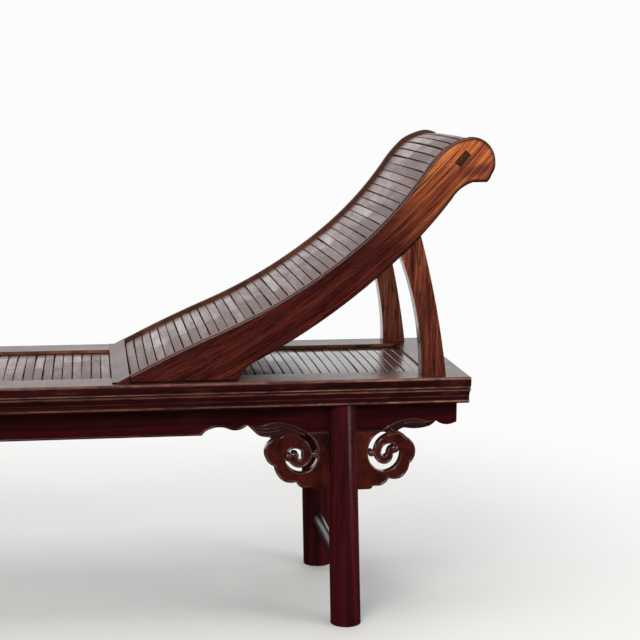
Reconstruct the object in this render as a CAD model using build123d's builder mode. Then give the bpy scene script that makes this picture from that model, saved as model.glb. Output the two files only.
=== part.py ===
from build123d import *
import os

# A long lounge chair in hardwood and bamboo: a moulded seat frame on four round legs, with cusped aprons,
# pierced cloud spandrels, and a fixed headrest that sweeps up to a rolled end.
# The head end is at +X, the front at -Y, and the floor at Z = 0. All lengths are in millimetres.

# Overall sizes
frame_length = 1853.0
frame_depth = 440.0
seat_height = 480.0
headrest_run = 701.0
headrest_height = 444.0
scroll_overhang = 42.0

# Fits: tenons in their mortises, and slats on what carries them
fit_gap = 0.2
rest_gap = 0.2
overrun = 10.0

# Seat frame rails and their moulding
rail_width = 70.0
rail_height = 50.0
arris_radius = 3.0
upper_band = 18.0
bead_width = 2.8
bead_spacing = 4.8
quirk = 1.4
rail_undercut = 3.6
cove_depth_share = 0.8
foot_bead = 3.0
corner_tenon_width = 28.0
corner_tenon_thickness = 12.0
corner_tenon_cover = 12.0
corner_tenon_depth_share = 0.48
corner_peg_radius = 4.0
corner_peg_cover = 14.0

# Bamboo slats, in grooves along the rails and in rabbets along the headrest boards
slat_pitch = 18.1
slat_gap = 1.6
slat_thickness = 5.0
slat_drop = 8.0
slat_bow = 5.0
groove_depth = 6.0
groove_play = 1.6

# Bearers and battens under the seat slats
bearer_count = 6
bearer_width = 40.0
bearer_height = 24.0
bearer_tenon_length = 15.0
bearer_shoulder = 4.0
batten_width = 24.0
batten_height = 12.0
batten_spread = 80.0
batten_end_gap = 2.0

# Legs, round and a little splayed towards the ends
leg_inset = 241.0
leg_splay = 12.5
leg_setback = 36.0
leg_top_radius = 27.5
leg_foot_radius = 29.0
leg_tenon_width = 26.0
leg_tenon_thickness = 9.0
leg_tenon_height = 28.0
leg_dowel_radius = 3.0
leg_dowel_spread = 20.0
leg_dowel_inset = 12.0
leg_dowel_bite = 20.0
stretcher_drop = 360.0
stretcher_height = 34.0
stretcher_width = 22.0
stretcher_tenon_length = 12.0

# Aprons and spandrels
apron_thickness = 16.0
apron_drop = 57.0
apron_end_setback = 20.0
tongue_thickness = 6.0
tongue_height = 8.0
spandrel_reach = 138.0
spandrel_height = 110.0
spandrel_housing = 8.0

# Headrest
board_thickness = 30.0
board_lip = 11.0
board_setback = 16.0
board_dowel_radius = 4.0
board_dowel_bite = 18.0
toe_board_width = 29.0
toe_lip = 5.0
toe_lip_height = 3.0
scroll_end_margin = 12.0
cross_rail_width = 34.0
cross_rail_thickness = 16.0
cross_rail_drop = 26.0
cross_tenon_width = 28.0
cross_tenon_thickness = 12.0
cross_tenon_length = 20.0
spine_width = 24.0
spine_depth = 32.0
spine_foot = 18.0
brace_thickness = 30.0
brace_tenon_width = 24.0
brace_tenon_thickness = 12.0
brace_tenon_length = 16.0

# Places that follow from the sizes above
head_end = (frame_length - scroll_overhang) / 2
foot_end = head_end - frame_length
frame_middle = head_end - frame_length / 2
toe = head_end + scroll_overhang - headrest_run
half_depth = frame_depth / 2
rail_bottom = seat_height - rail_height
apron_bottom = rail_bottom - apron_drop
inner_half_depth = half_depth - rail_width
board_inner = half_depth - board_setback - board_thickness
rabbet_depth = board_thickness - board_lip
ledge_drop = slat_drop + slat_thickness
slat_width = slat_pitch - slat_gap
apron_line = half_depth - leg_setback

# Outlines as shares, corner and through point in turn, so that each three points make one arc
board_top_shares = [
    (0.0, 0.0), (0.137, 0.109), (0.285, 0.214), (0.458, 0.354), (0.612, 0.5225),
    (0.710, 0.663), (0.8046, 0.8446), (0.836, 0.911), (0.8645, 0.957), (0.895, 0.983),
    (0.9315, 1.0), (0.973, 0.981), (0.997, 0.928), (1.0, 0.896), (0.9914, 0.8356),
]
board_tip_shares = [(0.9914, 0.8356), (0.989, 0.820), (0.980, 0.811)]
board_under_shares = [
    (0.940, 0.813), (0.9115, 0.7905), (0.8845, 0.743), (0.793, 0.575), (0.690, 0.4235),
    (0.541, 0.243), (0.365, 0.0766), (0.338, 0.045), (0.322, 0.0),
]
brace_back_shares = [(0.809, 0.0), (0.792, 0.279), (0.7375, 0.552)]
brace_front_shares = [(0.876, 0.0), (0.850, 0.266), (0.793, 0.642)]
brace_head_share = (0.7765, 0.5495)
brace_lean_share = (-0.266, 0.964)
board_dowel_shares = (0.14, 0.27)
cross_rail_shares = (0.20, 0.42, 0.64)
crest_rail_place_share = (0.911, 0.910)
crest_rail_lean_share = (0.669, 0.743)

# The apron's lower edge, out from the leg's axis and down the apron, towards the end and towards the middle
apron_outer_shares = [
    (0.746, 1.0), (0.804, 0.904), (0.848, 0.868), (1.036, 0.909), (1.196, 0.842),
    (1.254, 0.754), (1.290, 0.667), (1.377, 0.781), (1.449, 0.807), (1.522, 0.775),
]
apron_end_share = 0.702
apron_inner_shares = [
    (0.993, 1.0), (1.094, 1.038), (1.174, 0.947), (1.232, 0.807), (1.297, 0.649),
    (1.375, 0.768), (1.457, 0.807), (1.512, 0.790), (1.560, 0.745), (1.680, 0.686),
    (1.800, 0.745), (1.865, 0.825), (1.909, 0.947),
]
end_apron_shares = [
    (0.0, 0.702), (0.042, 0.775), (0.094, 0.807), (0.146, 0.781), (0.208, 0.667), (0.260, 0.730),
    (0.292, 0.947),
]

# Spandrels, out from the leg's axis and down from the apron
outer_cloud = dict(
    rim=[
        (0.743, 0.0), (0.815, 0.036), (0.884, 0.109), (1.0, 0.345), (0.920, 0.568),
        (0.884, 0.709), (0.797, 0.818), (0.717, 0.835), (0.634, 0.818), (0.587, 0.895), (0.507, 0.945),
    ],
    step=[(0.417, 0.945), (0.395, 0.982), (0.355, 1.0)],
    eye=[
        (0.609, 0.050), (0.572, 0.005), (0.536, -0.009), (0.399, 0.118), (0.344, 0.327),
        (0.391, 0.564), (0.565, 0.695), (0.732, 0.591), (0.790, 0.418), (0.788, 0.370), (0.775, 0.330),
    ],
    band=[
        (0.688, 0.391), (0.670, 0.491), (0.580, 0.564), (0.478, 0.518), (0.424, 0.364),
        (0.478, 0.164), (0.609, 0.050),
    ],
    pip=[
        (0.659, 0.255), (0.620, 0.309), (0.605, 0.373), (0.565, 0.423), (0.525, 0.345),
        (0.565, 0.241), (0.638, 0.209), (0.717, 0.241), (0.768, 0.300),
    ],
    knobs=[(0.712, 0.305, 0.056), (0.388, 0.368, 0.046)],
)
inner_cloud = dict(
    rim=[
        (1.0, 0.0), (1.002, 0.045), (0.971, 0.086), (1.077, 0.300), (0.942, 0.545),
        (0.899, 0.709), (0.775, 0.832), (0.710, 0.841), (0.641, 0.832), (0.609, 0.900), (0.543, 0.941),
    ],
    step=[(0.428, 0.932), (0.406, 0.955), (0.370, 0.968)],
    eye=[
        (0.623, 0.045), (0.580, 0.000), (0.536, -0.009), (0.406, 0.109), (0.348, 0.345),
        (0.399, 0.555), (0.580, 0.677), (0.739, 0.573), (0.793, 0.436),
    ],
    band=[
        (0.740, 0.480), (0.675, 0.555), (0.580, 0.582), (0.478, 0.518), (0.428, 0.373),
        (0.478, 0.173), (0.623, 0.045),
    ],
    pip=[
        (0.640, 0.330), (0.630, 0.390), (0.600, 0.463), (0.572, 0.409), (0.583, 0.286),
        (0.652, 0.245), (0.732, 0.277), (0.760, 0.305), (0.765, 0.340),
    ],
    knobs=[(0.668, 0.372, 0.060), (0.752, 0.382, 0.046), (0.388, 0.364, 0.046)],
)

pieces = {}
standing = (Align.CENTER, Align.CENTER, Align.MIN)
middle_plane = Plane.YZ.offset(frame_middle)


# Points of an outline from its shares
def spread(shares, across, along):
    return [(across * x, along * y) for x, y in shares]


# Joined arcs, each through the point between its two corners
def arc_run(points):
    for start, through, end in zip(points[0::2], points[1::2], points[2::2]):
        ThreePointArc(start, through, end)


# Outline of a headrest board from its toe, flat on the rail below
def board_outline():
    top, tip, under = [
        spread(shares, headrest_run, headrest_height)
        for shares in (board_top_shares, board_tip_shares, board_under_shares)
    ]
    arc_run(top)
    arc_run(tip)
    Line(tip[-1], under[0])
    arc_run(under)
    Line(under[-1], top[0])


# A plane that stands up along the frame, with its normal across it, so that +Y of a sketch is up
def upright(x, y, z, facing=1):
    return Plane(origin=(x, y, z), x_dir=(facing, 0, 0), z_dir=(0, -facing, 0))


# The leg's axis at a height, for the head end (1) or the foot end (-1)
def leg_axis(z, end):
    shift = leg_splay * (seat_height - z) / seat_height
    return frame_middle + end * (frame_length / 2 - leg_inset + shift)


# Section of a rail, drawn from its top outer corner inwards and down
def rail_section():
    bead_top = -upper_band
    second_bead_top = bead_top - bead_spacing
    beads_end = second_bead_top - bead_width
    cove_top = beads_end - quirk
    Line((rail_width, 0), (arris_radius, 0))
    RadiusArc((arris_radius, 0), (0, -arris_radius), -arris_radius)
    Line((0, -arris_radius), (0, bead_top + quirk))
    Line((0, bead_top + quirk), (quirk, bead_top))
    ThreePointArc((quirk, bead_top), (0, bead_top - bead_width / 2), (quirk, bead_top - bead_width))
    Line((quirk, bead_top - bead_width), (quirk, second_bead_top))
    ThreePointArc((quirk, second_bead_top), (0, second_bead_top - bead_width / 2), (quirk, beads_end))
    Line((quirk, beads_end), (quirk, cove_top))
    cove_middle = (rail_undercut * cove_depth_share, (cove_top - rail_height + foot_bead) / 2)
    ThreePointArc((quirk, cove_top), cove_middle, (rail_undercut - quirk, -rail_height + foot_bead))
    Line((rail_undercut - quirk, -rail_height + foot_bead), (rail_undercut, -rail_height))
    Line((rail_undercut, -rail_height), (rail_width, -rail_height))
    Line((rail_width, -rail_height), (rail_width, 0))


# A mitred rail from one outer corner of the frame to the next, with the frame on its left
def mitred_rail(start, end):
    along = (Vector(*end) - Vector(*start)).normalized()
    inward = Vector(-along.Y, along.X, 0)
    with BuildPart() as rail:
        with BuildSketch(Plane(origin=start, x_dir=inward, z_dir=along)):
            with BuildLine():
                rail_section()
            make_face()
        extrude(amount=(Vector(*end) - Vector(*start)).length)
        split(bisect_by=Plane(origin=start, z_dir=along - inward), keep=Keep.TOP)
        split(bisect_by=Plane(origin=end, z_dir=-along - inward), keep=Keep.TOP)
    return rail.part


# Corner tenons: each end rail's tenon lies in the long rail, with a peg through it from below
corner_tenon_z = seat_height - corner_tenon_depth_share * rail_height
corner_tenon_places = [frame_middle + end * (frame_length - rail_width) / 2 for end in (1, -1)]
corner_tenon_end = half_depth - corner_tenon_cover
corner_peg_y = half_depth - (corner_tenon_cover + rail_width / 2) / 2
corner_peg_top = seat_height - corner_peg_cover


def corner_tenon(end, side, gap):
    length = corner_tenon_end + gap - inner_half_depth
    x = frame_middle + end * (frame_length - rail_width) / 2
    with Locations((x, side * (inner_half_depth + length / 2), corner_tenon_z)):
        Box(corner_tenon_width + 2 * gap, length, corner_tenon_thickness + 2 * gap,
            mode=Mode.SUBTRACT if gap else Mode.ADD)


def corner_peg_hole(end, side):
    x = frame_middle + end * (frame_length - rail_width) / 2
    with Locations((x, side * corner_peg_y, rail_bottom - overrun)):
        Cylinder(corner_peg_radius + rest_gap, corner_peg_top - rail_bottom + overrun, align=standing,
                 mode=Mode.SUBTRACT)


# The groove for an apron's tongue, along a rail's underside
def tongue_groove(x, y, length, across):
    size = (length, tongue_thickness + 2 * fit_gap)
    with Locations((x, y, rail_bottom - overrun)):
        Box(*(size[::-1] if across else size), tongue_height + fit_gap + overrun, mode=Mode.SUBTRACT,
            align=standing)


apron_half_length = frame_length / 2 - apron_end_setback
end_apron_half_length = apron_line + apron_thickness / 2
long_tongue_length = frame_length - 2 * (leg_setback + tongue_thickness + fit_gap)
end_tongue_length = 2 * (end_apron_half_length - apron_thickness)
end_apron_x = head_end - apron_end_setback - apron_thickness / 2
leg_offset = leg_axis(apron_bottom, 1) - frame_middle
spandrel_root = leg_top_radius - spandrel_housing

# Leg joints, the same in the rails and the legs
leg_top = {end: leg_axis(rail_bottom, end) for end in (1, -1)}
leg_cheek = (apron_thickness + leg_tenon_thickness) / 2 + 2 * fit_gap
leg_dowel_y = apron_line - leg_dowel_inset
leg_dowel_places = [
    (leg_top[end] + side * leg_dowel_spread, -leg_dowel_y) for end in (1, -1) for side in (1, -1)
]


def leg_tenons(end, gap):
    with Locations(*[(leg_top[end], -apron_line + side * leg_cheek, rail_bottom) for side in (1, -1)]):
        Box(leg_tenon_width + 2 * gap, leg_tenon_thickness + 2 * gap, leg_tenon_height + gap,
            align=standing, mode=Mode.SUBTRACT if gap else Mode.ADD)


# Bearers and battens
seat_half_length = frame_length / 2 - rail_width
bearer_step = 2 * seat_half_length / bearer_count
bearer_places = [frame_middle - seat_half_length + bearer_step * (i + 0.5) for i in range(bearer_count)]
bearer_top = seat_height - ledge_drop + slat_bow - rest_gap - batten_height
bearer_middle = bearer_top - bearer_height / 2


# How far the slats' underside is above their ends, at a distance from the middle of the seat
def slat_rise(y):
    half_span = inner_half_depth + groove_depth
    return slat_bow * (1 - (y / half_span) ** 2)


# Places along the headrest board's top edge, as a distance from the toe
with BuildLine() as board_crest:
    arc_run(spread(board_top_shares, headrest_run, headrest_height))
crest = board_crest.wire()
crest_length = crest.length


# A point below the top edge, square to it, with the edge's direction there
def below_crest(distance, drop):
    point = crest @ (distance / crest_length)
    heading = crest % (distance / crest_length)
    return Vector(point.X + heading.Y * drop, point.Y - heading.X * drop), heading


# A plane below the top edge, with its X along the edge and its Z square to it
def crest_plane(distance, drop, y):
    point, heading = below_crest(distance, drop)
    return Plane(origin=(toe + point.X, y, seat_height + point.Y), x_dir=(heading.X, 0, heading.Y),
                 z_dir=(-heading.Y, 0, heading.X))


# Points at one depth below the top edge
def crest_points(first, last, drop, steps=60):
    return [below_crest(first + (last - first) * i / steps, drop)[0] for i in range(steps + 1)]


# The band between two depths below the top edge
def crest_band(first, last, upper, lower):
    above = crest_points(first, last, upper)
    under = crest_points(first, last, lower)
    Spline(*above)
    Line(above[-1], under[-1])
    Spline(*under)
    Line(under[0], above[0])


# Cross rails of the headrest, square to the slats; the crest rail leans, and its tenons come through
lean_across, lean_up = crest_rail_lean_share
cross_rail_middle = cross_rail_drop + cross_rail_thickness / 2
cross_rails = {
    name: (crest_plane(share * crest_length, cross_rail_middle, 0), cross_tenon_length)
    for name, share in zip(("lower_headrest_rail", "middle_headrest_rail", "upper_headrest_rail"),
                           cross_rail_shares)
}
crest_rail_place = (toe + headrest_run * crest_rail_place_share[0], 0,
                    seat_height + headrest_height * crest_rail_place_share[1])
crest_rail_plane = Plane(origin=crest_rail_place, x_dir=(lean_across, 0, lean_up),
                         z_dir=(-lean_up, 0, lean_across))
cross_rails["crest_headrest_rail"] = (crest_rail_plane, board_thickness)


# The same plane at another distance from the middle of the width
def beside(plane, y):
    return Plane(origin=plane.origin + Vector(0, y, 0), x_dir=plane.x_dir, z_dir=plane.z_dir)


# The brace's two joints: a stub tenon in the rail below and one in the board above
brace_foot_x = toe + headrest_run * (brace_back_shares[0][0] + brace_front_shares[0][0]) / 2
brace_head = (toe + headrest_run * brace_head_share[0], seat_height + headrest_height * brace_head_share[1])
brace_line = half_depth - board_setback - board_thickness / 2
brace_head_plane = Plane(origin=(brace_head[0], -brace_line, brace_head[1]), x_dir=(0, 1, 0),
                         z_dir=(brace_lean_share[0], 0, brace_lean_share[1]))


def brace_foot_tenon(gap):
    with Locations((brace_foot_x, -brace_line, seat_height + gap)):
        Box(brace_tenon_width + 2 * gap, brace_tenon_thickness + 2 * gap, brace_tenon_length + 2 * gap,
            align=(Align.CENTER, Align.CENTER, Align.MAX), mode=Mode.SUBTRACT if gap else Mode.ADD)


def brace_head_tenon(gap):
    with Locations(brace_head_plane):
        Box(brace_tenon_thickness + 2 * gap, brace_tenon_width + 2 * gap, 2 * (brace_tenon_length + gap),
            mode=Mode.SUBTRACT if gap else Mode.ADD)


board_dowel_places = [(toe + headrest_run * share, -brace_line) for share in board_dowel_shares]


# Long rails
front_blank = mitred_rail((foot_end, -half_depth, seat_height), (head_end, -half_depth, seat_height))
with BuildPart() as front_rail:
    add(front_blank)
    for end in (1, -1):
        corner_tenon(end, -1, fit_gap)
        corner_peg_hole(end, -1)
        leg_tenons(end, fit_gap)
    with Locations((frame_middle, -half_depth + rail_width, seat_height - slat_drop + groove_play)):
        Box(2 * seat_half_length, 2 * groove_depth, slat_thickness + groove_play + rest_gap,
            align=(Align.CENTER, Align.CENTER, Align.MAX), mode=Mode.SUBTRACT)
    with Locations(*[(x, -inner_half_depth, bearer_middle) for x in bearer_places]):
        Box(bearer_width - 2 * bearer_shoulder + 2 * fit_gap, 2 * (bearer_tenon_length + fit_gap),
            bearer_height - 2 * bearer_shoulder + 2 * fit_gap, mode=Mode.SUBTRACT)
    tongue_groove(frame_middle, -apron_line, long_tongue_length + 2 * fit_gap, across=False)
    with Locations(*[(x, y, rail_bottom - overrun) for x, y in leg_dowel_places]):
        Cylinder(leg_dowel_radius + rest_gap, rail_height + 2 * overrun, mode=Mode.SUBTRACT,
                 align=standing)
    with Locations(*[(x, y, seat_height - board_dowel_bite) for x, y in board_dowel_places]):
        Cylinder(board_dowel_radius + rest_gap, board_dowel_bite + overrun, mode=Mode.SUBTRACT,
                 align=standing)
    brace_foot_tenon(fit_gap)
pieces["front_rail"] = front_rail.part

with BuildPart() as back_rail:
    mirror(front_rail.part, about=Plane.XZ)
pieces["back_rail"] = back_rail.part


# End rails, with the tenons that hold the corners
end_blank = mitred_rail((head_end, -half_depth, seat_height), (head_end, half_depth, seat_height))
with BuildPart() as head_end_rail:
    add(end_blank)
    for side in (-1, 1):
        corner_tenon(1, side, 0)
        corner_peg_hole(1, side)
    tongue_groove(end_apron_x, 0, end_tongue_length + 2 * fit_gap, across=True)
pieces["head_end_rail"] = head_end_rail.part

with BuildPart() as foot_end_rail:
    mirror(head_end_rail.part, about=middle_plane)
pieces["foot_end_rail"] = foot_end_rail.part


# Pegs and dowels
with BuildPart() as corner_pegs:
    places = [(x, side * corner_peg_y, rail_bottom) for x in corner_tenon_places for side in (-1, 1)]
    with Locations(*places):
        Cylinder(corner_peg_radius, corner_peg_top - rail_bottom, align=standing)
pieces["corner_pegs"] = corner_pegs.part

with BuildPart() as leg_dowels:
    places = [(x, side * y, rail_bottom - leg_dowel_bite) for x, y in leg_dowel_places for side in (-1, 1)]
    with Locations(*places):
        Cylinder(leg_dowel_radius, rail_height + leg_dowel_bite, align=standing)
pieces["leg_dowels"] = leg_dowels.part

with BuildPart() as board_dowels:
    dowel_bottom = seat_height - board_dowel_bite
    places = [(x, side * y, dowel_bottom) for x, y in board_dowel_places for side in (-1, 1)]
    with Locations(*places):
        Cylinder(board_dowel_radius, 2 * board_dowel_bite, align=standing)
pieces["board_dowels"] = board_dowels.part


# Bearers across the frame, tenoned into the long rails
for number, x in enumerate(bearer_places, start=1):
    with BuildPart() as bearer:
        with Locations((x, 0, bearer_middle)):
            Box(bearer_width, 2 * inner_half_depth, bearer_height)
            Box(bearer_width - 2 * bearer_shoulder, 2 * (inner_half_depth + bearer_tenon_length),
                bearer_height - 2 * bearer_shoulder)
    pieces[f"seat_bearer_{number}"] = bearer.part


# Battens along the bearers; the side ones are lower, under the slats' bow
batten_length = 2 * (seat_half_length - batten_end_gap)
for name, y in (("front_batten", -batten_spread), ("middle_batten", 0), ("back_batten", batten_spread)):
    batten_top = seat_height - ledge_drop - rest_gap + slat_rise(abs(y) + batten_width / 2 if y else 0)
    with BuildPart() as batten:
        with Locations((frame_middle, y, bearer_top)):
            Box(batten_length, batten_width, batten_top - bearer_top, align=standing)
    pieces[name] = batten.part


# One bowed slat, lying across X with its length centred, its bow along Y and its width along Z
def slat_blank(half_length):
    with BuildPart() as slat:
        with BuildSketch():
            with BuildLine():
                ThreePointArc((-half_length, 0), (0, slat_bow), (half_length, 0))
                Line((half_length, 0), (half_length, slat_thickness))
                ThreePointArc((half_length, slat_thickness), (0, slat_bow + slat_thickness),
                              (-half_length, slat_thickness))
                Line((-half_length, slat_thickness), (-half_length, 0))
            make_face()
        extrude(amount=slat_width / 2, both=True)
    return slat.part


# Seat slats, from one end rail to the other
slat_count = round(2 * seat_half_length / slat_pitch)
slat_step = 2 * seat_half_length / slat_count
seat_slat_planes = [
    Plane(origin=(frame_middle - seat_half_length + slat_step * (i + 0.5), 0, seat_height - ledge_drop),
          x_dir=(0, 1, 0), z_dir=(1, 0, 0))
    for i in range(slat_count)
]
seat_slat = slat_blank(inner_half_depth + groove_depth - fit_gap)
with BuildPart() as seat_slats:
    with Locations(*seat_slat_planes):
        add(seat_slat)
pieces["seat_slats"] = seat_slats.part


# Headrest slats, spaced along the ledge from the toe board over the crest and down the scroll
with BuildLine() as ledge_line:
    Spline(*crest_points(toe_board_width, crest_length - scroll_end_margin, ledge_drop))
ledge = ledge_line.wire()


def ledge_slat_plane(distance):
    start, middle, end = [
        ledge @ ((distance + shift) / ledge.length) for shift in (-slat_width / 2, 0, slat_width / 2)
    ]
    chord = (end - start).normalized()
    square = Vector(-chord.Y, chord.X)
    seat = (start + end) / 2
    seat = seat + square * max(0, (middle - seat).dot(square))
    return Plane(origin=(toe + seat.X, 0, seat_height + seat.Y), x_dir=(0, 1, 0), z_dir=(chord.X, 0, chord.Y))


ledge_slat_count = round(ledge.length / slat_pitch)
ledge_slat_step = ledge.length / ledge_slat_count
headrest_slat = slat_blank(board_inner + rabbet_depth - fit_gap)
with BuildPart() as headrest_slats:
    with Locations(*[ledge_slat_plane(ledge_slat_step * (i + 0.5)) for i in range(ledge_slat_count)]):
        add(headrest_slat)
pieces["headrest_slats"] = headrest_slats.part


# Side boards of the headrest, cut square at the toe board, with a rabbet that leaves a lip past the slats
board_heel = toe + below_crest(toe_board_width, 0)[0].X
with BuildPart() as board_blank:
    with BuildSketch(upright(toe, -brace_line, seat_height)):
        with BuildLine():
            board_outline()
        make_face()
    extrude(amount=board_thickness / 2, both=True)
    split(bisect_by=Plane(origin=(board_heel, 0, 0), z_dir=(1, 0, 0)), keep=Keep.TOP)

with BuildPart() as front_side_board:
    add(board_blank.part)
    with BuildSketch(upright(toe, -board_inner, seat_height)):
        with BuildLine():
            crest_band(toe_board_width / 2, crest_length - scroll_end_margin + 2 * slat_gap,
                       -overrun, ledge_drop + rest_gap)
        make_face()
    extrude(amount=rabbet_depth, both=True, mode=Mode.SUBTRACT)
    for plane, tenon_length in cross_rails.values():
        with Locations(beside(plane, -board_inner)):
            Box(cross_tenon_width + 2 * fit_gap, 2 * (tenon_length + fit_gap),
                cross_tenon_thickness + 2 * fit_gap, mode=Mode.SUBTRACT)
    with Locations(*[(x, y, seat_height - overrun) for x, y in board_dowel_places]):
        Cylinder(board_dowel_radius + rest_gap, board_dowel_bite + overrun, align=standing,
                 mode=Mode.SUBTRACT)
    brace_head_tenon(fit_gap)
pieces["front_side_board"] = front_side_board.part

with BuildPart() as back_side_board:
    mirror(front_side_board.part, about=Plane.XZ)
pieces["back_side_board"] = back_side_board.part


# Toe board across the foot of the ramp, with a thin lip
with BuildPart() as toe_board:
    with BuildSketch(upright(toe, 0, seat_height)):
        with BuildLine():
            board_outline()
        make_face()
        with Locations((0, 0)):
            Rectangle(board_heel - toe, headrest_height, align=(Align.MIN, Align.MIN), mode=Mode.INTERSECT)
        Rectangle(2 * toe_lip, toe_lip_height, align=(Align.CENTER, Align.MIN))
    extrude(amount=half_depth - board_setback, both=True)
pieces["toe_board"] = toe_board.part


# Cross rails between the side boards
for name, (plane, tenon_length) in cross_rails.items():
    with BuildPart() as cross_rail:
        with Locations(plane):
            Box(cross_rail_width, 2 * board_inner, cross_rail_thickness)
            Box(cross_tenon_width, 2 * (board_inner + tenon_length), cross_tenon_thickness)
    pieces[name] = cross_rail.part


# Spine under the middle of the headrest slats, notched over the cross rails
spine_drop = ledge_drop - slat_bow + rest_gap
with BuildPart() as headrest_spine:
    with BuildSketch(upright(toe, 0, seat_height)):
        with BuildLine():
            crest_band(toe_board_width + spine_foot, crest_length - scroll_end_margin, spine_drop,
                       spine_drop + spine_depth)
        make_face()
    extrude(amount=spine_width / 2, both=True)
    split(bisect_by=Plane(origin=(0, 0, seat_height), z_dir=(0, 0, 1)), keep=Keep.TOP)
    with Locations(*[plane for plane, tenon_length in cross_rails.values()]):
        Box(cross_rail_width, spine_width + overrun, cross_rail_thickness, mode=Mode.SUBTRACT)
pieces["headrest_spine"] = headrest_spine.part


# Braces, curved posts from the long rails to the boards' undersides
with BuildPart() as front_brace:
    with BuildSketch(upright(toe, -brace_line, seat_height)):
        with BuildLine():
            back = spread(brace_back_shares, headrest_run, headrest_height)
            front = spread(brace_front_shares, headrest_run, headrest_height)
            arc_run(back)
            arc_run(front)
            Line(back[0], front[0])
            Line(back[-1], front[-1])
        make_face()
    extrude(amount=brace_thickness / 2, both=True)
    add(board_blank.part, mode=Mode.SUBTRACT)
    brace_foot_tenon(0)
    brace_head_tenon(0)
pieces["front_brace"] = front_brace.part

with BuildPart() as back_brace:
    mirror(front_brace.part, about=Plane.XZ)
pieces["back_brace"] = back_brace.part


# Aprons under the long rails, clasped in the legs' slots
long_apron_points = [(leg_offset + x, y) for x, y in spread(apron_outer_shares, spandrel_reach, -apron_drop)]
long_apron_points.append((apron_half_length, -apron_drop * apron_end_share))
inner_apron_points = [(leg_offset - x, y) for x, y in spread(apron_inner_shares, spandrel_reach, -apron_drop)]
with BuildPart() as front_apron:
    with BuildSketch(upright(frame_middle, -apron_line, rail_bottom)):
        with BuildLine():
            for facing in (1, -1):
                arc_run([(facing * x, y) for x, y in long_apron_points])
                arc_run([(facing * x, y) for x, y in inner_apron_points])
                joint_ends = [(facing * points[0][0], -apron_drop)
                              for points in (long_apron_points, inner_apron_points)]
                Line(*joint_ends)
                end_x = facing * apron_half_length
                Line((end_x, long_apron_points[-1][1]), (end_x, 0))
            middle_edge = inner_apron_points[-1]
            Line((-middle_edge[0], middle_edge[1]), middle_edge)
            Line((-apron_half_length, 0), (apron_half_length, 0))
        make_face()
    extrude(amount=apron_thickness / 2, both=True)
    for facing in (1, -1):
        corner = (frame_middle + facing * apron_half_length, -end_apron_half_length, 0)
        split(bisect_by=Plane(origin=corner, z_dir=(-facing, -1, 0)), keep=Keep.TOP)
    with Locations((frame_middle, -apron_line, rail_bottom)):
        Box(long_tongue_length, tongue_thickness, 2 * tongue_height)
pieces["front_apron"] = front_apron.part

with BuildPart() as back_apron:
    mirror(front_apron.part, about=Plane.XZ)
pieces["back_apron"] = back_apron.part


# Aprons under the end rails, mitred to the long ones
with BuildPart() as head_end_apron:
    with BuildSketch(Plane(origin=(end_apron_x, 0, rail_bottom), x_dir=(0, 1, 0), z_dir=(1, 0, 0))):
        with BuildLine():
            end_points = [(end_apron_half_length * (1 - x), -apron_drop * y) for x, y in end_apron_shares]
            for facing in (1, -1):
                arc_run([(facing * x, y) for x, y in end_points])
                Line((facing * end_apron_half_length, end_points[0][1]), (facing * end_apron_half_length, 0))
            Line((-end_points[-1][0], end_points[-1][1]), end_points[-1])
            Line((-end_apron_half_length, 0), (end_apron_half_length, 0))
        make_face()
    extrude(amount=apron_thickness / 2, both=True)
    for side in (1, -1):
        corner = (head_end - apron_end_setback, side * end_apron_half_length, 0)
        split(bisect_by=Plane(origin=corner, z_dir=(1, -side, 0)), keep=Keep.TOP)
    with Locations((end_apron_x, 0, rail_bottom)):
        Box(tongue_thickness, end_tongue_length, 2 * tongue_height)
pieces["head_end_apron"] = head_end_apron.part

with BuildPart() as foot_end_apron:
    mirror(head_end_apron.part, about=middle_plane)
pieces["foot_end_apron"] = foot_end_apron.part


# One pierced spandrel, on the outer (1) or inner (-1) side of a leg
def spandrel(cloud, end, outward):
    root_x = leg_axis(apron_bottom - spandrel_height / 2, end)
    place = upright(root_x, -apron_line, apron_bottom, end * outward)
    rim, step, eye, band, pip = [
        spread(cloud[name], spandrel_reach, -spandrel_height)
        for name in ("rim", "step", "eye", "band", "pip")
    ]
    with BuildPart() as carving:
        with BuildSketch(place):
            with BuildLine():
                Line((spandrel_root, 0), rim[0])
                arc_run(rim)
                Line(rim[-1], step[0])
                arc_run(step)
                Line(step[-1], (spandrel_root, step[-1][1]))
                Line((spandrel_root, step[-1][1]), (spandrel_root, 0))
            make_face()
            with BuildLine():
                arc_run(eye)
                Line(eye[-1], band[0])
                arc_run(band)
            make_face(mode=Mode.SUBTRACT)
            with BuildLine():
                arc_run(pip)
                Line(pip[-1], pip[0])
            make_face(mode=Mode.SUBTRACT)
            for across, down, radius in cloud["knobs"]:
                with Locations((across * spandrel_reach, -down * spandrel_height)):
                    Circle(radius * spandrel_reach)
        extrude(amount=apron_thickness / 2, both=True)
    return carving.part


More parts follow.
